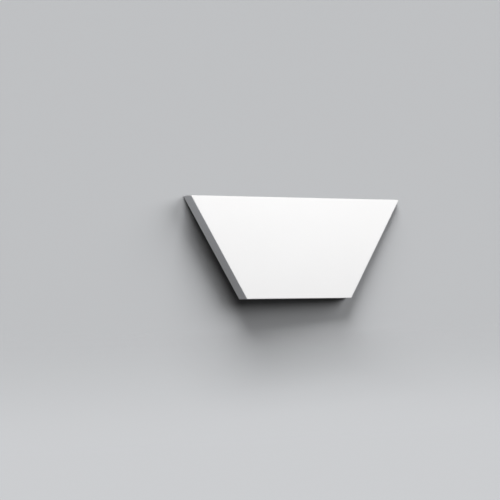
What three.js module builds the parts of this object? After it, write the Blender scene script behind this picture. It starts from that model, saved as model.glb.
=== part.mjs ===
// A white relief panel for a wall: a trapezium block, moulded in one piece, with a slanted front.
// Millimetres. X runs along the wall to the right, Y points into the wall, Z is up.
// The origin is the middle of the flat back, which lies on the wall.

import * as THREE from "three";
import { ConvexGeometry } from "three/addons/geometries/ConvexGeometry.js";

// Outline of the back
const longEdge = 345; // the top edge
const shortEdge = 172.5; // the bottom edge
const panelHeight = 149.4; // from the top edge to the bottom edge

// Front face, highest along the left slanted side and lowest at the top right corner
const thickSide = 30; // off the wall along the left slanted side
const thinCorner = 7; // off the wall at the top right corner

// Moulding
const draftAngle = THREE.MathUtils.degToRad(2); // how far each side leans in as it leaves the wall
const edgeRadius = 1.2; // the rounding of the front edges and of the four corners
const roundingSteps = 6; // flats across one rounding

const paint = { name: "white primer", color: 0xf4f4f2, roughness: 0.62, metalness: 0 };

const intoWall = new THREE.Vector3(0, 1, 0);
const offWall = intoWall.clone().negate();

// The four corners of the back, clockwise as seen from the room, from the top left one.
function backCorners() {
  const top = panelHeight / 2;
  return [
    new THREE.Vector3(-longEdge / 2, 0, top),
    new THREE.Vector3(longEdge / 2, 0, top),
    new THREE.Vector3(shortEdge / 2, 0, -top),
    new THREE.Vector3(-shortEdge / 2, 0, -top),
  ];
}

// A side's plane, facing out: it holds the back's edge and leans in by the draft.
function sidePlane(start, end) {
  const outward = end.clone().sub(start).cross(intoWall).normalize();
  const facing = outward.multiplyScalar(Math.cos(draftAngle)).addScaledVector(offWall, Math.sin(draftAngle));
  return new THREE.Plane().setFromNormalAndCoplanarPoint(facing, start);
}

// The front's plane, facing out: thickSide over both left corners, thinCorner over the top right one.
function frontPlane([topLeft, topRight, , bottomLeft]) {
  const raised = (corner, height) => corner.clone().addScaledVector(offWall, height);
  return new THREE.Plane().setFromCoplanarPoints(
    raised(topLeft, thickSide),
    raised(bottomLeft, thickSide),
    raised(topRight, thinCorner),
  );
}

// The point that lies at the given depth behind each of three planes.
function pointBehind(planes, depth) {
  const normals = planes.flatMap((plane) => plane.normal.toArray());
  const distances = planes.map((plane) => -plane.constant - depth);
  return new THREE.Vector3(...distances).applyMatrix3(new THREE.Matrix3(...normals).invert());
}

// A direction that is the given share of the way from one direction to another, along the arc between them.
function directionBetween(from, to, share) {
  const axis = from.clone().cross(to).normalize();
  return from.clone().applyAxisAngle(axis, from.angleTo(to) * share);
}

// The surface points of one rounded corner: a ball that touches both sides and the front,
// and the round upright edge from the ball to the wall.
function roundedCorner(sideBefore, sideAfter, front) {
  const centre = pointBehind([sideBefore, sideAfter, front], edgeRadius);
  const alongEdge = sideBefore.normal.clone().cross(sideAfter.normal).normalize();
  const onBall = (direction) => centre.clone().addScaledVector(direction, edgeRadius);
  const points = [onBall(front.normal)];
  for (let i = 0; i <= roundingSteps; i++) {
    const sideways = directionBetween(sideBefore.normal, sideAfter.normal, i / roundingSteps);
    for (let j = 0; j < roundingSteps; j++)
      points.push(onBall(directionBetween(sideways, front.normal, j / roundingSteps)));
    const atWall = onBall(sideways);
    atWall.addScaledVector(alongEdge, -atWall.y / alongEdge.y).setY(0);
    points.push(atWall);
  }
  return points;
}

// The panel is convex, so its surface is the hull of its back and its four rounded corners.
function trapeziumPanel() {
  const corners = backCorners();
  const sides = corners.map((corner, i) => sidePlane(corner, corners[(i + 1) % corners.length]));
  const front = frontPlane(corners);
  const points = sides.flatMap((side, i) => roundedCorner(sides.at(i - 1), side, front));
  const mesh = new THREE.Mesh(new ConvexGeometry(points), new THREE.MeshStandardMaterial(paint));
  mesh.name = "trapezium_panel";
  return mesh;
}

const group = new THREE.Group();
group.add(trapeziumPanel());

export default group;
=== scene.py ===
"""A white trapezium relief panel on a pale studio wall.

The panel is moulded in one piece: a flat back, four sides that lean in a little, and a front that slants
from the thick left side down to the top right corner. This script gives the panel its finished surface, its
primer and its raw back, and sets it in a plain studio. Metres throughout: X runs along the wall, Y into it,
Z up.
"""

from math import cos, pi, radians, sin

import bmesh
import bpy
import numpy as np
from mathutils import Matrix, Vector


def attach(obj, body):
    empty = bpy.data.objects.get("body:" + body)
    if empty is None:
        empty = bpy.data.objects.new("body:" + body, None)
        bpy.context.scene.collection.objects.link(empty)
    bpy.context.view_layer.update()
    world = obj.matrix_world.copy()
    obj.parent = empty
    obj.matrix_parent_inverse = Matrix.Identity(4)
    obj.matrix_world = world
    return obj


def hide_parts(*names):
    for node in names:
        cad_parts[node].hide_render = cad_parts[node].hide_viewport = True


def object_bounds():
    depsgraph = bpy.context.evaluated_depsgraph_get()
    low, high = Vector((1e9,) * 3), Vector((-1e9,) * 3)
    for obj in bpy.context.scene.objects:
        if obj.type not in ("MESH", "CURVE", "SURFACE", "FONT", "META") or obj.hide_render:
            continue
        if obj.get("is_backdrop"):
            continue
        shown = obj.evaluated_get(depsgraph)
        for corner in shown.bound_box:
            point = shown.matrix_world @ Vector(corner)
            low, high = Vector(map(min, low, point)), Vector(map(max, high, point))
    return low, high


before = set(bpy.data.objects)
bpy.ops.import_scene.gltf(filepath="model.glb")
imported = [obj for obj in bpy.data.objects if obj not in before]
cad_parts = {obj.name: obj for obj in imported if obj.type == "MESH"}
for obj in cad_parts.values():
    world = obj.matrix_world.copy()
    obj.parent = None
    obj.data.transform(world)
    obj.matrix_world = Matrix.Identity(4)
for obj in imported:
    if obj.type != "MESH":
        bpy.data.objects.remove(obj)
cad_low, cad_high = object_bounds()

bl_info = {
    "name": "Trapezium Wall Panel",
    "version": (1, 0, 0),
    "blender": (4, 5, 0),
    "location": "3D Viewport > Sidebar > Wall Panel",
    "description": "Makes a white trapezium relief panel with a slanted front, and a plain studio around it",
    "category": "Add Mesh",
}

PANEL_NODE = "trapezium_panel"
INTO_WALL = np.array([0.0, 1.0, 0.0])

# The panel's mesh: steps round a corner, along the top and the bottom, and along a slanted side, how close
# points are that become one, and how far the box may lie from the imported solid's
ARC_STEPS, LONG_STEPS, SLANT_STEPS = 8, 46, 23
MERGE_DISTANCE = 1e-7
FORM_TOLERANCE = 1e-4

# The refractive index of the primer and of the foam
FINISH_IOR = 1.46

# The camera: a 90 mm lens, to the left of the panel
CAMERA_LENS, CAMERA_SENSOR = 90.0, 36.0
CAMERA_PLACE = (-0.7390, -1.6964, -0.0225)
CAMERA_YAW, CAMERA_PITCH = radians(21.539), radians(0.617)

# The backdrop: how far it reaches, the curve from floor to wall, and how much brighter the floor is painted
# than the wall, as painted light
FAR = 18.0
COVE_RADIUS, COVE_STEPS = 0.14, 24
PAINTED_FLOOR_LIGHT = 1.15

# The lights: a near one's place and size, a far one's side and the angle it spans, and the fills' colour
FRONT_SOFTBOX = (0.14, -1.07, 0.72), 0.7
FRONT_DOME = (0, -1, 0), pi
LEFT_FILL = (-0.55, -0.05, 0.10), 0.2
BACK_SOFTBOX = (0.35, 0.9, 0.2), radians(46)
TOP_KEY = (-0.136, -0.225, 0.965), radians(40)
RIGHT_KEY = (0.723, -0.469, 0.506), radians(48)
COOL = (0.95, 0.975, 1.035)


class PanelSizes(bpy.types.PropertyGroup):
    """The panel's form, as a moulder would give it."""

    long_edge: bpy.props.FloatProperty(
        name="Long edge", description="Top edge of the back", default=0.345, min=0.05, unit="LENGTH"
    )
    short_edge: bpy.props.FloatProperty(
        name="Short edge", description="Bottom edge of the back", default=0.1725, min=0.02, unit="LENGTH"
    )
    height: bpy.props.FloatProperty(
        name="Height",
        description="From the top edge to the bottom edge",
        default=cad_high.z - cad_low.z,
        min=0.02,
        unit="LENGTH",
    )
    thick_side: bpy.props.FloatProperty(
        name="Thick side",
        description="Off the wall along the left slanted side",
        default=0.030,
        unit="LENGTH",
    )
    thin_corner: bpy.props.FloatProperty(
        name="Thin corner", description="Off the wall at the top right corner", default=0.007, unit="LENGTH"
    )
    draft: bpy.props.FloatProperty(
        name="Draft",
        description="How far each side leans in as it leaves the wall",
        default=radians(2),
        unit="ROTATION",
    )
    edge_radius: bpy.props.FloatProperty(
        name="Edge radius",
        description="Rounding of the front edges and corners",
        default=0.0012,
        unit="LENGTH",
    )
    rim_radius: bpy.props.FloatProperty(
        name="Rim radius",
        description="Faint rounding where the sides meet the back",
        default=0.0004,
        unit="LENGTH",
    )


class PanelFinish(bpy.types.PropertyGroup):
    """Colours and grain of the primer and of the raw back."""

    primer: bpy.props.FloatVectorProperty(
        name="Primer",
        description="Matte white primer",
        subtype="COLOR",
        size=3,
        default=(0.889, 0.88, 0.867),
        min=0,
        max=1,
    )
    raw_foam: bpy.props.FloatVectorProperty(
        name="Raw foam",
        description="Bare moulded foam on the back",
        subtype="COLOR",
        size=3,
        default=(0.79, 0.765, 0.70),
        min=0,
        max=1,
    )
    roughness: bpy.props.FloatProperty(
        name="Roughness",
        description="Of the primer, where it is smoothest",
        subtype="FACTOR",
        default=0.5,
        min=0,
        max=1,
    )
    overspray: bpy.props.FloatProperty(
        name="Overspray",
        description="How far the primer strays onto the back",
        default=0.007,
        unit="LENGTH",
    )


class StudioSettings(bpy.types.PropertyGroup):
    """The pale wall and floor, and the strengths of the lights."""

    backdrop: bpy.props.FloatVectorProperty(
        name="Backdrop",
        description="Wall and floor",
        subtype="COLOR",
        size=3,
        default=(0.59, 0.60, 0.615),
        min=0,
        max=1,
    )
    floor_drop: bpy.props.FloatProperty(
        name="Floor drop",
        description="From the panel's middle down to the floor",
        default=0.26,
        unit="LENGTH",
    )
    ambient: bpy.props.FloatProperty(name="Ambient", description="Light from all round", default=0.03)
    front_softbox: bpy.props.FloatProperty(
        name="Front softbox", description="Lights the panel from the room", default=16.2, unit="POWER"
    )
    front_dome: bpy.props.FloatProperty(
        name="Front dome", description="In watts a square metre, on the panel", default=0.76
    )
    left_fill: bpy.props.FloatProperty(
        name="Left fill", description="Lights the panel's left side", default=0.29, unit="POWER"
    )
    back_softbox: bpy.props.FloatProperty(
        name="Back softbox", description="In watts a square metre, on the panel's back", default=2.9
    )
    top_key: bpy.props.FloatProperty(
        name="Top key", description="In watts a square metre, on the backdrop from above", default=7.3
    )
    right_key: bpy.props.FloatProperty(
        name="Right key", description="In watts a square metre, on the backdrop from the right", default=2.16
    )


# The panel's form


def unit(vectors):
    """Each vector divided by its own length."""
    return vectors / np.linalg.norm(vectors, axis=-1, keepdims=True)


def turned(start, end, share):
    """Directions on the arc from start to end. Each is start times the sine of the angle still to go plus end
    times the sine of the angle already gone, divided by the sine of the whole angle."""
    angle = np.arccos(np.sum(start * end, axis=-1, keepdims=True))
    share = np.asarray(share)[..., None]
    return (np.sin((1 - share) * angle) * start + np.sin(share * angle) * end) / np.sin(angle)


def back_corners(size):
    """The four corners of the back, clockwise as seen from the room, from the top left one."""
    top, wide, narrow = size.height / 2, size.long_edge / 2, size.short_edge / 2
    return np.array([[-wide, 0, top], [wide, 0, top], [narrow, 0, -top], [-narrow, 0, -top]])


def panel_faces(size):
    """Outward normals of the four sides and of the front, and a point on each.

    A side's normal is its outward direction along the wall times the cosine of the draft, plus the direction
    off the wall times its sine. The front holds three points: the two left corners raised by the thick side,
    and the top right corner raised by the thin corner."""
    corners = back_corners(size)
    along = unit(np.roll(corners, -1, axis=0) - corners)
    sides = cos(size.draft) * np.cross(along, INTO_WALL) - sin(size.draft) * INTO_WALL
    top_left, top_right, _, bottom_left = corners
    thick, thin = size.thick_side * INTO_WALL, size.thin_corner * INTO_WALL
    front = unit(np.cross(top_right - thin - bottom_left + thick, top_left - bottom_left))
    return sides, corners, front, top_left - thick


def around(arc_steps, long_steps, slant_steps):
    """The stations of one turn round the panel, clockwise from the top left corner.

    Each corner gives the stations of its own arc, then those of the straight run to the next corner. A
    station is a corner and how far its arc has turned, the same for the far end of its run, and its share of
    the way along the run. It comes back as five arrays."""
    blocks = []
    for corner in range(4):
        run_steps = slant_steps if corner % 2 else long_steps
        arc = np.linspace(0, 1, arc_steps + 1)
        share = np.linspace(0, 1, run_steps + 1)[1:-1]
        on_arc, on_run = np.ones_like(arc), np.ones_like(share)
        blocks.append([
            np.concatenate([corner * on_arc, corner * on_run]),
            np.concatenate([arc, on_run]),
            np.concatenate([corner * on_arc, (corner + 1) % 4 * on_run]),
            np.concatenate([arc, 0 * on_run]),
            np.concatenate([0 * on_arc, share]),
        ])
    corner_from, turn_from, corner_to, turn_to, share = np.concatenate(blocks, axis=1)
    return corner_from.astype(int), turn_from, corner_to.astype(int), turn_to, share


def panel_rings(size, stations, rim_steps=3, side_steps=4, edge_steps=8):
    """Rings of points round the panel from the back to the front, and the surface's normal at each point.

    At a corner a ball of the edge radius touches both sides and the front. The sideways direction turns from
    one side's normal to the next one's. A point of the front edge is the ball's centre plus the radius times
    a direction that turns from sideways to the front's normal. The upright edge slides that ball along the
    line where both sides meet, down to the wall. The rim does the same with a small ball between the side
    and the back. A straight run is a blend of the points at its two ends."""
    sides, on_sides, front, on_front = panel_faces(size)
    before = np.roll(sides, 1, axis=0)
    facing = np.stack([before, sides, np.broadcast_to(front, sides.shape)], axis=1)
    reach = np.stack([
        np.sum(before * on_sides, axis=1),
        np.sum(sides * on_sides, axis=1),
        np.full(4, front @ on_front),
    ], axis=1)
    balls = np.linalg.solve(facing, (reach - size.edge_radius)[..., None])[..., 0]
    uprights = unit(np.cross(before, sides))

    def corner_column(corner, turn):
        """One station's points and normals from back to front, for whole arrays of corners and turns."""
        sideways = turned(before[corner], sides[corner], turn)
        touch = balls[corner] + size.edge_radius * sideways
        upright = uprights[corner]
        at_wall = touch - upright * (touch[:, 1] / upright[:, 1])[:, None]
        lean = 1 + sideways @ INTO_WALL
        rim = at_wall - size.rim_radius * (sideways + INTO_WALL) / lean[:, None]
        axle = balls[corner] - upright * (balls[corner][:, 1] / upright[:, 1])[:, None]
        straight_in = np.broadcast_to(INTO_WALL, sideways.shape)
        straight_out = np.broadcast_to(front, sideways.shape)
        points, normals = [axle], [straight_in]
        for share in np.linspace(1, 0, rim_steps + 1):
            direction = turned(sideways, straight_in, np.full(len(turn), share))
            points.append(rim + size.rim_radius * direction)
            normals.append(direction)
        foot = points[-1]
        for share in np.linspace(0, 1, side_steps + 1)[1:-1]:
            points.append((1 - share) * foot + share * touch)
            normals.append(sideways)
        for share in np.linspace(0, 1, edge_steps + 1):
            direction = turned(sideways, straight_out, np.full(len(turn), share))
            points.append(balls[corner] + size.edge_radius * direction)
            normals.append(direction)
        return np.array(points), np.array(normals)

    corner_from, turn_from, corner_to, turn_to, share = stations
    start, normals = corner_column(corner_from, turn_from)
    end, _ = corner_column(corner_to, turn_to)
    blend = share[None, :, None]
    return (1 - blend) * start + blend * end, normals


def sheet_between(corners, across, down):
    """A flat grid over four corners, clockwise from the top left: a blend of the top run and the bottom run,
    each of them a blend of its two corners."""
    top_left, top_right, bottom_right, bottom_left = corners
    s = np.linspace(0, 1, across + 1)[None, :, None]
    t = np.linspace(0, 1, down + 1)[:, None, None]
    return (1 - t) * ((1 - s) * top_left + s * top_right) + t * ((1 - s) * bottom_left + s * bottom_right)


def grid_quads(rows, columns, first, closed=False):
    """Four vertex numbers for each cell of a grid whose points are numbered row by row from first. In a
    closed grid the last column joins the first."""
    cells = columns if closed else columns - 1
    row, column = np.meshgrid(np.arange(rows - 1), np.arange(cells), indexing="ij")
    here, beside = row * columns + column, row * columns + (column + 1) % columns
    return first + np.stack([here, here + columns, beside + columns, beside], axis=-1).reshape(-1, 4)


def panel_mesh(size):
    """The closed surface of the panel, with the exact normal at each vertex.

    The rings give the sides and all roundings, and a flat grid closes the front and the back. Where the
    surfaces share points, those are merged. The first row of the rings lies on the back, so it takes the bare
    back's material as the back's grid does. The attribute inset says how deep a point lies behind the
    nearest side."""
    stations = around(ARC_STEPS, LONG_STEPS, SLANT_STEPS)
    rings, ring_facing = panel_rings(size, stations)
    rows, columns = rings.shape[:2]
    corner_first = np.flatnonzero((stations[1] == 0) & (stations[4] == 0))
    front = sheet_between(rings[-1, corner_first], LONG_STEPS, SLANT_STEPS)
    back = sheet_between(rings[0, corner_first[[1, 0, 3, 2]]], LONG_STEPS, SLANT_STEPS)
    points = np.concatenate([rings.reshape(-1, 3), front.reshape(-1, 3), back.reshape(-1, 3)])
    facing = np.concatenate([
        ring_facing.reshape(-1, 3),
        np.broadcast_to(ring_facing[-1, 0], (front.size // 3, 3)),
        np.broadcast_to(INTO_WALL, (back.size // 3, 3)),
    ])
    ring_quads = grid_quads(rows, columns, 0, closed=True)
    front_quads = grid_quads(SLANT_STEPS + 1, LONG_STEPS + 1, rings.size // 3)
    back_quads = grid_quads(SLANT_STEPS + 1, LONG_STEPS + 1, (rings.size + front.size) // 3)
    quads = np.concatenate([ring_quads, front_quads, back_quads])
    bare = np.zeros(len(quads), np.int32)
    bare[:columns] = 1
    bare[-len(back_quads):] = 1
    sides, on_sides = panel_faces(size)[:2]
    inset = np.min(np.sum(sides * on_sides, axis=1) - points @ sides.T, axis=1)

    mesh = bpy.data.meshes.new("moulded_panel")
    mesh.from_pydata(points.tolist(), [], quads.tolist())
    mesh.polygons.foreach_set("material_index", bare)
    mesh.attributes.new("inset", "FLOAT", "POINT").data.foreach_set("value", inset.astype(np.float32))
    mesh.attributes.new("facing", "FLOAT_VECTOR", "POINT").data.foreach_set("vector", facing.ravel())
    form = bmesh.new()
    form.from_mesh(mesh)
    bmesh.ops.remove_doubles(form, verts=form.verts, dist=MERGE_DISTANCE)
    if form.calc_volume(signed=True) <= 0 or any(len(edge.link_faces) != 2 for edge in form.edges):
        raise RuntimeError("the panel's surface isn't closed with its faces out")
    form.to_mesh(mesh)
    form.free()
    merged = np.empty(3 * len(mesh.vertices), np.float32)
    mesh.attributes["facing"].data.foreach_get("vector", merged)
    mesh.attributes.remove(mesh.attributes["facing"])
    mesh.shade_smooth()
    mesh.normals_split_custom_set_from_vertices(merged.reshape(-1, 3))
    return mesh


# Materials


def add_node(tree, kind, at, **settings):
    """A node at a place in the tree, with its own properties and the values of its inputs set by name."""
    node = tree.nodes.new(kind)
    node.location = at
    inputs = settings.pop("inputs", {})
    for name, value in settings.items():
        setattr(node, name, value)
    for name, value in inputs.items():
        node.inputs[name].default_value = value
    return node


def link_all(tree, links):
    """Joins each pair of an output and an input."""
    for start, end in links:
        tree.links.new(start, end)


def socket(sockets, identifier):
    """The socket with this identifier, for a node whose sockets share their names."""
    return next(each for each in sockets if each.identifier == identifier)


def new_group(name, inputs, outputs):
    """An empty shader node group with named inputs and outputs, each given as a kind of socket and, for an
    input, its default value. It comes back with its input and output nodes."""
    group = bpy.data.node_groups.new(name, "ShaderNodeTree")
    for title, (kind, value) in inputs.items():
        made = group.interface.new_socket(title, in_out="INPUT", socket_type=kind)
        if value is not None:
            made.default_value = value
    for title, kind in outputs.items():
        group.interface.new_socket(title, in_out="OUTPUT", socket_type=kind)
    return group, add_node(group, "NodeGroupInput", (-700, 0)), add_node(group, "NodeGroupOutput", (700, 0))


def tone_drift_group():
    """Clouds some centimetres across that make a colour a little lighter and darker, as an uneven coat does,
    and over them a grain finer than a millimetre, as dried droplets give it."""
    group, given, result = new_group(
        "Tone drift",
        {
            "Vector": ("NodeSocketVector", None),
            "Color": ("NodeSocketColor", (1, 1, 1, 1)),
            "Clouds per metre": ("NodeSocketFloat", 14.0),
            "Clouds": ("NodeSocketFloat", 0.02),
            "Grains per metre": ("NodeSocketFloat", 1500.0),
            "Grain": ("NodeSocketFloat", 0.02),
        },
        {"Color": "NodeSocketColor"},
    )
    clouds = add_node(group, "ShaderNodeTexNoise", (-450, 250), inputs={"Detail": 3.0, "Roughness": 0.55})
    grain = add_node(group, "ShaderNodeTexNoise", (-450, -50), inputs={"Detail": 1.0, "Roughness": 0.5})
    clouds_signed = add_node(group, "ShaderNodeMath", (-250, 250), operation="SUBTRACT", inputs={1: 0.5})
    grain_signed = add_node(group, "ShaderNodeMath", (-250, -50), operation="SUBTRACT", inputs={1: 0.5})
    drift = add_node(group, "ShaderNodeMath", (-50, 200), operation="MULTIPLY_ADD", inputs={2: 1.0})
    swing = add_node(group, "ShaderNodeMath", (150, 100), operation="MULTIPLY_ADD")
    shade = add_node(group, "ShaderNodeVectorMath", (400, 0), operation="SCALE")
    link_all(group, (
        (given.outputs["Vector"], clouds.inputs["Vector"]),
        (given.outputs["Vector"], grain.inputs["Vector"]),
        (given.outputs["Clouds per metre"], clouds.inputs["Scale"]),
        (given.outputs["Grains per metre"], grain.inputs["Scale"]),
        (clouds.outputs["Fac"], clouds_signed.inputs[0]),
        (grain.outputs["Fac"], grain_signed.inputs[0]),
        (clouds_signed.outputs[0], drift.inputs[0]),
        (given.outputs["Clouds"], drift.inputs[1]),
        (grain_signed.outputs[0], swing.inputs[0]),
        (given.outputs["Grain"], swing.inputs[1]),
        (drift.outputs[0], swing.inputs[2]),
        (given.outputs["Color"], shade.inputs[0]),
        (swing.outputs[0], shade.inputs["Scale"]),
        (shade.outputs[0], result.inputs["Color"]),
    ))
    return group


def spray_group():
    """The fine peel of a sprayed coat: low bumps a millimetre or two across over a slow swell, and a
    roughness that wanders a little with the swell."""
    group, given, result = new_group(
        "Spray peel",
        {
            "Vector": ("NodeSocketVector", None),
            "Bumps per metre": ("NodeSocketFloat", 420.0),
            "Swell": ("NodeSocketFloat", 0.5),
            "Roughness": ("NodeSocketFloat", 0.5),
            "Roughness swing": ("NodeSocketFloat", 0.1),
        },
        {"Height": "NodeSocketFloat", "Roughness": "NodeSocketFloat"},
    )
    peel = add_node(group, "ShaderNodeTexNoise", (-450, 150), inputs={"Detail": 2.0, "Roughness": 0.45})
    swell = add_node(group, "ShaderNodeTexNoise", (-450, -100), inputs={"Scale": 26.0, "Detail": 1.0})
    height = add_node(group, "ShaderNodeMath", (0, 100), operation="MULTIPLY_ADD")
    gloss = add_node(group, "ShaderNodeMath", (0, -150), operation="MULTIPLY_ADD")
    link_all(group, (
        (given.outputs["Vector"], peel.inputs["Vector"]),
        (given.outputs["Vector"], swell.inputs["Vector"]),
        (given.outputs["Bumps per metre"], peel.inputs["Scale"]),
        (swell.outputs["Fac"], height.inputs[0]),
        (given.outputs["Swell"], height.inputs[1]),
        (peel.outputs["Fac"], height.inputs[2]),
        (swell.outputs["Fac"], gloss.inputs[0]),
        (given.outputs["Roughness swing"], gloss.inputs[1]),
        (given.outputs["Roughness"], gloss.inputs[2]),
        (height.outputs[0], result.inputs["Height"]),
        (gloss.outputs[0], result.inputs["Roughness"]),
    ))
    return group


def pores_group():
    """Open cells of cut foam: round pits of mixed sizes, one at most in each cell of a Voronoi pattern. The
    cell's random colour sets the pit's radius, and about a third of the cells have none. The mask is 1 over
    the inner half of a pit's radius and falls to 0 at its rim."""
    group, given, result = new_group(
        "Foam pores",
        {
            "Vector": ("NodeSocketVector", None),
            "Cells per metre": ("NodeSocketFloat", 300.0),
            "Largest radius": ("NodeSocketFloat", 0.2),
        },
        {"Mask": "NodeSocketFloat"},
    )
    cells = add_node(group, "ShaderNodeTexVoronoi", (-450, 0), inputs={"Randomness": 1.0})
    chance = add_node(group, "ShaderNodeSeparateColor", (-250, 150))
    radius = add_node(group, "ShaderNodeMapRange", (-50, 150), inputs={"From Min": 0.35, "To Min": 0.001})
    inner = add_node(group, "ShaderNodeMath", (150, 50), operation="MULTIPLY", inputs={1: 0.55})
    pit = add_node(group, "ShaderNodeMapRange", (350, 0), interpolation_type="SMOOTHSTEP", inputs={
        "To Min": 1.0, "To Max": 0.0,
    })
    link_all(group, (
        (given.outputs["Vector"], cells.inputs["Vector"]),
        (given.outputs["Cells per metre"], cells.inputs["Scale"]),
        (cells.outputs["Color"], chance.inputs["Color"]),
        (chance.outputs["Red"], radius.inputs["Value"]),
        (given.outputs["Largest radius"], radius.inputs["To Max"]),
        (radius.outputs["Result"], inner.inputs[0]),
        (cells.outputs["Distance"], pit.inputs["Value"]),
        (inner.outputs[0], pit.inputs["From Min"]),
        (radius.outputs["Result"], pit.inputs["From Max"]),
        (pit.outputs["Result"], result.inputs["Mask"]),
    ))
    return group


def new_material(name):
    """A material with a Principled shader and the object's own coordinates."""
    material = bpy.data.materials.new(name)
    material.use_nodes = True
    tree = material.node_tree
    tree.nodes.clear()
    coordinates = add_node(tree, "ShaderNodeTexCoord", (-1400, 0))
    shader = add_node(tree, "ShaderNodeBsdfPrincipled", (500, 0), inputs={"IOR": FINISH_IOR})
    output = add_node(tree, "ShaderNodeOutputMaterial", (800, 0))
    tree.links.new(shader.outputs["BSDF"], output.inputs["Surface"])
    return material, tree, coordinates.outputs["Object"], shader


def primer_material(finish, tone_drift, spray):
    """Matte white primer, sprayed on: even, with a faint peel that only shows from close by."""
    material, tree, place, shader = new_material("White primer")
    tone = add_node(tree, "ShaderNodeGroup", (-400, 200), node_tree=tone_drift, inputs={
        "Color": (*finish.primer, 1), "Clouds per metre": 11.0, "Clouds": 0.03, "Grain": 0.045,
    })
    peel = add_node(tree, "ShaderNodeGroup", (-400, -100), node_tree=spray, inputs={
        "Bumps per metre": 480.0, "Swell": 1.5, "Roughness": finish.roughness, "Roughness swing": 0.12,
    })
    bump = add_node(tree, "ShaderNodeBump", (100, -200), inputs={"Strength": 1.0, "Distance": 0.00007})
    link_all(tree, (
        (place, tone.inputs["Vector"]),
        (place, peel.inputs["Vector"]),
        (tone.outputs["Color"], shader.inputs["Base Color"]),
        (peel.outputs["Roughness"], shader.inputs["Roughness"]),
        (peel.outputs["Height"], bump.inputs["Height"]),
        (bump.outputs["Normal"], shader.inputs["Normal"]),
    ))
    return material


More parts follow.
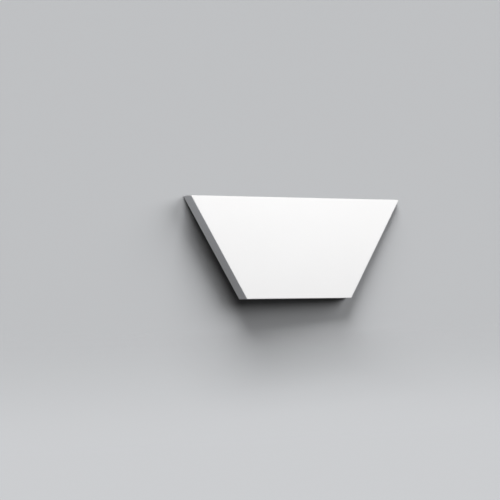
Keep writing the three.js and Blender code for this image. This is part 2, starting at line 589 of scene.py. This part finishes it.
def bare_back_material(finish, tone_drift, spray, pores):
    """Bare foam, planed flat: warm, dull, faintly streaked along the panel and open-pored, with painted shade
    in the pores and some white overspray along the rim.

    The relief is the foam's own bumps plus the planing's ridges less the pits. The overspray fades out as a
    point's inset, less a ragged noise, grows to a share of the overspray's reach."""
    material, tree, place, shader = new_material("Bare foam back")
    ridge_height, pit_depth = 1.5, 5.0
    raggedness, coat_end = 2.2, 0.4
    tone = add_node(tree, "ShaderNodeGroup", (-900, 400), node_tree=tone_drift, inputs={
        "Color": (*finish.raw_foam, 1), "Clouds per metre": 24.0, "Clouds": 0.10, "Grain": 0.08,
    })
    skin = add_node(tree, "ShaderNodeGroup", (-900, 100), node_tree=spray, inputs={
        "Bumps per metre": 900.0, "Swell": 1.5, "Roughness": 0.78, "Roughness swing": 0.15,
    })
    wide_pores = add_node(tree, "ShaderNodeGroup", (-900, -150), node_tree=pores, inputs={
        "Cells per metre": 260.0, "Largest radius": 0.17,
    })
    fine_pores = add_node(tree, "ShaderNodeGroup", (-900, -350), node_tree=pores, inputs={
        "Cells per metre": 1100.0, "Largest radius": 0.38,
    })
    lengthwise = add_node(tree, "ShaderNodeMapping", (-1150, -550), inputs={"Scale": (5.0, 1.0, 420.0)})
    planing = add_node(tree, "ShaderNodeTexNoise", (-950, -550), inputs={
        "Scale": 1.0, "Detail": 4.0, "Roughness": 0.6,
    })
    streaks = add_node(tree, "ShaderNodeMapRange", (-700, -550), inputs={"To Min": 0.95, "To Max": 1.05})
    pitted = add_node(tree, "ShaderNodeMath", (-650, -250), operation="MAXIMUM")
    # Painted shade: the pores are made up to a quarter darker, and the planing streaks vary the foam's tone
    painted_pit_shade = add_node(tree, "ShaderNodeMapRange", (-450, -250), inputs={"To Min": 1.0, "To Max": 0.76})
    pit_shade_and_streaks = add_node(tree, "ShaderNodeMath", (-250, -250), operation="MULTIPLY")
    foam = add_node(tree, "ShaderNodeVectorMath", (-50, 350), operation="SCALE")
    ridges = add_node(tree, "ShaderNodeMath", (-450, 0), operation="MULTIPLY_ADD", inputs={1: ridge_height})
    relief = add_node(tree, "ShaderNodeMath", (-250, 0), operation="MULTIPLY_ADD", inputs={1: -pit_depth})
    inset = add_node(tree, "ShaderNodeAttribute", (-1150, -850), attribute_name="inset")
    ragged = add_node(tree, "ShaderNodeTexNoise", (-1150, -1050), inputs={
        "Scale": 130.0, "Detail": 5.0, "Roughness": 0.72,
    })
    stray = add_node(tree, "ShaderNodeMath", (-900, -900), operation="MULTIPLY_ADD", inputs={
        1: -raggedness * finish.overspray,
    })
    coat = add_node(tree, "ShaderNodeMapRange", (-700, -850), interpolation_type="SMOOTHSTEP", inputs={
        "From Min": -finish.overspray, "From Max": coat_end * finish.overspray, "To Min": 1.0, "To Max": 0.0,
    })
    colour = add_node(tree, "ShaderNodeMix", (150, 250), data_type="RGBA")
    socket(colour.inputs, "B_Color").default_value = (*finish.primer, 1)
    roughness = add_node(tree, "ShaderNodeMix", (150, 0), data_type="FLOAT")
    socket(roughness.inputs, "B_Float").default_value = finish.roughness + 0.06
    bump = add_node(tree, "ShaderNodeBump", (150, -250), inputs={"Strength": 1.0, "Distance": 0.00004})
    link_all(tree, (
        (place, tone.inputs["Vector"]),
        (place, skin.inputs["Vector"]),
        (place, wide_pores.inputs["Vector"]),
        (place, fine_pores.inputs["Vector"]),
        (place, lengthwise.inputs["Vector"]),
        (place, ragged.inputs["Vector"]),
        (lengthwise.outputs[0], planing.inputs["Vector"]),
        (planing.outputs["Fac"], streaks.inputs["Value"]),
        (wide_pores.outputs["Mask"], pitted.inputs[0]),
        (fine_pores.outputs["Mask"], pitted.inputs[1]),
        (pitted.outputs[0], painted_pit_shade.inputs["Value"]),
        (painted_pit_shade.outputs["Result"], pit_shade_and_streaks.inputs[0]),
        (streaks.outputs["Result"], pit_shade_and_streaks.inputs[1]),
        (tone.outputs["Color"], foam.inputs[0]),
        (pit_shade_and_streaks.outputs[0], foam.inputs["Scale"]),
        (planing.outputs["Fac"], ridges.inputs[0]),
        (skin.outputs["Height"], ridges.inputs[2]),
        (pitted.outputs[0], relief.inputs[0]),
        (ridges.outputs[0], relief.inputs[2]),
        (ragged.outputs["Fac"], stray.inputs[0]),
        (inset.outputs["Fac"], stray.inputs[2]),
        (stray.outputs[0], coat.inputs["Value"]),
        (coat.outputs["Result"], socket(colour.inputs, "Factor_Float")),
        (foam.outputs[0], socket(colour.inputs, "A_Color")),
        (coat.outputs["Result"], socket(roughness.inputs, "Factor_Float")),
        (skin.outputs["Roughness"], socket(roughness.inputs, "A_Float")),
        (socket(colour.outputs, "Result_Color"), shader.inputs["Base Color"]),
        (socket(roughness.outputs, "Result_Float"), shader.inputs["Roughness"]),
        (relief.outputs[0], bump.inputs["Height"]),
        (bump.outputs["Normal"], shader.inputs["Normal"]),
    ))
    return material


# The stage


def rays_of(side, angle, count=600):
    """Directions spread evenly over a round light of the given angle, as seen from the panel.

    They lie on a spiral round the light's middle. Each has turned on by the golden angle, and its height over
    the middle's plane falls in equal steps from 1 to the cosine of half the light's angle."""
    number = np.arange(count) + 0.5
    height = 1 - (1 - cos(angle / 2)) * number / count
    out = np.sqrt(1 - height**2)
    turn = number * pi * (3 - 5**0.5)
    middle = unit(np.array(side))
    across = unit(np.cross(middle, INTO_WALL))
    axes = np.stack([middle, across, np.cross(across, middle)])
    return np.stack([height, out * np.cos(turn), out * np.sin(turn)], axis=1) @ axes


def light_on(facing, studio):
    """Light that falls on the backdrop where it faces a given way, with nothing in between.

    A key gives its strength times the mean over its rays of their cosine to the facing, with rays from behind
    counted as nothing, divided by the same mean for a surface that faces the key. The light from all round
    gives pi times its strength."""
    light = studio.ambient * pi
    for (side, angle), strength in ((TOP_KEY, studio.top_key), (RIGHT_KEY, studio.right_key)):
        rays = rays_of(side, angle)
        straight_on = np.mean(rays @ unit(np.array(side)))
        light = light + strength * np.mean(np.maximum(facing @ rays.T, 0), axis=-1) / straight_on
    return light


def backdrop_mesh(studio):
    """Floor and wall in one sheet: a profile of the flat floor, a quarter circle and the upright wall,
    carried straight along the wall. It faces the room.

    The attribute paint is painted light: it is the light on the wall divided by the light on that part of the
    sheet, which paints out the lamps' own shading, times a painted brightness that falls from the floor's to
    the wall's with the fourth power of the sine of the turn."""
    turn = np.linspace(0, pi / 2, COVE_STEPS + 1)
    curve_y = COVE_RADIUS * (np.sin(turn) - 1)
    curve_z = COVE_RADIUS * (1 - np.cos(turn)) - studio.floor_drop
    turn = np.concatenate([[0.0], turn, [pi / 2]])
    points = np.empty((len(turn), 2, 3))
    points[..., 0] = -FAR, FAR
    points[..., 1] = np.concatenate([[-FAR], curve_y, [0.0]])[:, None]
    points[..., 2] = np.concatenate([[-studio.floor_drop], curve_z, [FAR]])[:, None]
    quads = grid_quads(len(turn), 2, 0)[:, ::-1]
    facing = np.stack([0 * turn, -np.sin(turn), np.cos(turn)], axis=1)
    # Painted light: the floor is painted brighter than the wall, and the lamps' own shading over the sheet is
    # painted out
    tone = PAINTED_FLOOR_LIGHT + (1 - PAINTED_FLOOR_LIGHT) * np.sin(turn) ** 4
    paint = np.repeat(tone * light_on(-INTO_WALL, studio) / light_on(facing, studio), 2)

    mesh = bpy.data.meshes.new("backdrop")
    mesh.from_pydata(points.reshape(-1, 3).tolist(), [], quads.tolist())
    mesh.attributes.new("paint", "FLOAT", "POINT").data.foreach_set("value", paint.astype(np.float32))
    mesh.shade_smooth()
    mesh.normals_split_custom_set_from_vertices(np.repeat(facing, 2, axis=0))
    return mesh


def backdrop_material(colour):
    """Plain matt paint, seen from the room only: from behind the wall it is clear, so that the panel's back
    shows."""
    material = bpy.data.materials.new("Pale backdrop")
    material.use_nodes = True
    tree = material.node_tree
    tree.nodes.clear()
    # The colour is scaled by the painted light held in the attribute paint
    strength = add_node(tree, "ShaderNodeAttribute", (-450, 100), attribute_name="paint")
    tone = add_node(tree, "ShaderNodeVectorMath", (-250, 100), operation="SCALE", inputs={0: colour})
    paint = add_node(tree, "ShaderNodeBsdfDiffuse", (0, 100))
    clear = add_node(tree, "ShaderNodeBsdfTransparent", (0, -100))
    side = add_node(tree, "ShaderNodeNewGeometry", (0, 350))
    mix = add_node(tree, "ShaderNodeMixShader", (250, 0))
    output = add_node(tree, "ShaderNodeOutputMaterial", (450, 0))
    link_all(tree, (
        (strength.outputs["Fac"], tone.inputs["Scale"]),
        (tone.outputs[0], paint.inputs["Color"]),
        (side.outputs["Backfacing"], mix.inputs[0]),
        (paint.outputs[0], mix.inputs[1]),
        (clear.outputs[0], mix.inputs[2]),
        (mix.outputs[0], output.inputs["Surface"]),
    ))
    return material


def set_world(studio):
    """Even light from all round, while the camera sees, beyond the floor's end, a flat colour with the
    floor's painted brightness.
    """
    far_light = PAINTED_FLOOR_LIGHT * light_on(-INTO_WALL, studio) / pi
    far_tone = [channel * far_light for channel in studio.backdrop]
    world = bpy.data.worlds.new("Studio")
    bpy.context.scene.world = world
    world.use_nodes = True
    tree = world.node_tree
    tree.nodes.clear()
    path = add_node(tree, "ShaderNodeLightPath", (-200, 300))
    light = add_node(tree, "ShaderNodeBackground", (0, 100), inputs={"Strength": studio.ambient})
    shown = add_node(tree, "ShaderNodeBackground", (0, -100), inputs={"Color": (*far_tone, 1)})
    mix = add_node(tree, "ShaderNodeMixShader", (250, 0))
    output = add_node(tree, "ShaderNodeOutputWorld", (450, 0))
    link_all(tree, (
        (path.outputs["Is Camera Ray"], mix.inputs[0]),
        (light.outputs[0], mix.inputs[1]),
        (shown.outputs[0], mix.inputs[2]),
        (mix.outputs[0], output.inputs["Surface"]),
    ))


def reach_of(name, piece):
    """A collection that lets a light reach this piece alone."""
    reach = bpy.data.collections.new(name)
    reach.objects.link(piece)
    return reach


def add_light(name, kind, strength, reach, where, color=(1, 1, 1), mirrored=True):
    """A light pointed at the panel's middle, which reaches one collection alone. An area light has a place
    and a size, and a sun has a side and the angle it spans. It shows in the sheen of what it lights only if
    it is mirrored."""
    place, span = where
    lamp = bpy.data.lights.new(name, kind)
    lamp.energy, lamp.color = strength, color
    setattr(lamp, "size" if kind == "AREA" else "angle", span)
    lamp.cycles.use_multiple_importance_sampling = False
    light = bpy.data.objects.new(name, lamp)
    light.location = place
    light.rotation_euler = (-Vector(place)).to_track_quat("-Z", "Y").to_euler()
    light.visible_glossy = mirrored
    light.light_linking.receiver_collection = reach
    bpy.context.scene.collection.objects.link(light)


def add_camera(scene):
    """The camera stands to the left of the panel and nearly level with it."""
    camera = bpy.data.objects.new("Camera", bpy.data.cameras.new("Camera"))
    camera.data.lens, camera.data.sensor_width = CAMERA_LENS, CAMERA_SENSOR
    camera.location = CAMERA_PLACE
    camera.rotation_euler = (pi / 2 + CAMERA_PITCH, 0, -CAMERA_YAW)
    scene.collection.objects.link(camera)
    scene.camera = camera


# The operators


class PANEL_OT_make_panel(bpy.types.Operator):
    """Make the moulded panel with its primer and its bare back, in place of the plain solid"""

    bl_idname = "wall_panel.make_panel"
    bl_label = "Moulded panel"

    def execute(self, context):
        scene = context.scene
        finish = scene.panel_finish
        piece = bpy.data.objects.new("moulded_panel", panel_mesh(scene.panel_sizes))
        scene.collection.objects.link(piece)
        tone_drift, spray = tone_drift_group(), spray_group()
        piece.data.materials.append(primer_material(finish, tone_drift, spray))
        piece.data.materials.append(bare_back_material(finish, tone_drift, spray, pores_group()))
        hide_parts(PANEL_NODE)
        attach(piece, "root")
        for made, packed in zip(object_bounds(), (cad_low, cad_high)):
            if (made - packed).length > FORM_TOLERANCE:
                raise RuntimeError(f"the panel's box ends at {made[:]}, the packed solid's at {packed[:]}")
        return {"FINISHED"}


class PANEL_OT_make_studio(bpy.types.Operator):
    """Set the camera, the pale wall and floor behind and below the panel, and the soft lights"""

    bl_idname = "wall_panel.make_studio"
    bl_label = "Studio"

    def execute(self, context):
        scene, studio = context.scene, context.scene.panel_studio
        panel = bpy.data.objects.get("moulded_panel")
        if panel is None:
            raise RuntimeError("the studio is set round the panel, so the panel is made first")
        scene.view_settings.view_transform = "Standard"
        add_camera(scene)
        set_world(studio)

        # The backdrop is for the camera alone, and takes no light that the panel throws back
        backdrop = bpy.data.objects.new("backdrop", backdrop_mesh(studio))
        backdrop.data.materials.append(backdrop_material(studio.backdrop))
        backdrop.visible_diffuse = backdrop.visible_glossy = backdrop.visible_shadow = False
        panel.visible_diffuse = False
        scene.collection.objects.link(backdrop)
        backdrop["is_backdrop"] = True

        # The back softbox isn't mirrored in the sides, because a real wall would hide it from them
        lit = reach_of("Panel lights", panel)
        add_light("Front softbox", "AREA", studio.front_softbox, lit, FRONT_SOFTBOX)
        add_light("Front dome", "SUN", studio.front_dome, lit, FRONT_DOME, COOL)
        add_light("Left fill", "AREA", studio.left_fill, lit, LEFT_FILL, COOL)
        add_light("Back softbox", "SUN", studio.back_softbox, lit, BACK_SOFTBOX, mirrored=False)
        lit = reach_of("Backdrop lights", backdrop)
        add_light("Top key", "SUN", studio.top_key, lit, TOP_KEY)
        add_light("Right key", "SUN", studio.right_key, lit, RIGHT_KEY)
        return {"FINISHED"}


class PANEL_PT_wall_panel(bpy.types.Panel):
    """Sizes, finish and studio, with a button for each step"""

    bl_label = "Wall Panel"
    bl_space_type = "VIEW_3D"
    bl_region_type = "UI"
    bl_category = "Wall Panel"

    def draw(self, context):
        for title, name, operators in (
            ("Sizes", "panel_sizes", (PANEL_OT_make_panel,)),
            ("Finish", "panel_finish", ()),
            ("Studio", "panel_studio", (PANEL_OT_make_studio,)),
        ):
            box = self.layout.box()
            box.label(text=title)
            settings = getattr(context.scene, name)
            for value in type(settings).__annotations__:
                box.prop(settings, value)
            for operator in operators:
                box.operator(operator.bl_idname)


SETTINGS = {"panel_sizes": PanelSizes, "panel_finish": PanelFinish, "panel_studio": StudioSettings}
CLASSES = (*SETTINGS.values(), PANEL_OT_make_panel, PANEL_OT_make_studio, PANEL_PT_wall_panel)


def register():
    for each in CLASSES:
        bpy.utils.register_class(each)
    for name, kind in SETTINGS.items():
        setattr(bpy.types.Scene, name, bpy.props.PointerProperty(type=kind))


def unregister():
    for name in SETTINGS:
        delattr(bpy.types.Scene, name)
    for each in reversed(CLASSES):
        bpy.utils.unregister_class(each)


def main():
    register()
    bpy.ops.wall_panel.make_panel()
    bpy.ops.wall_panel.make_studio()


if __name__ == "__main__":
    main()
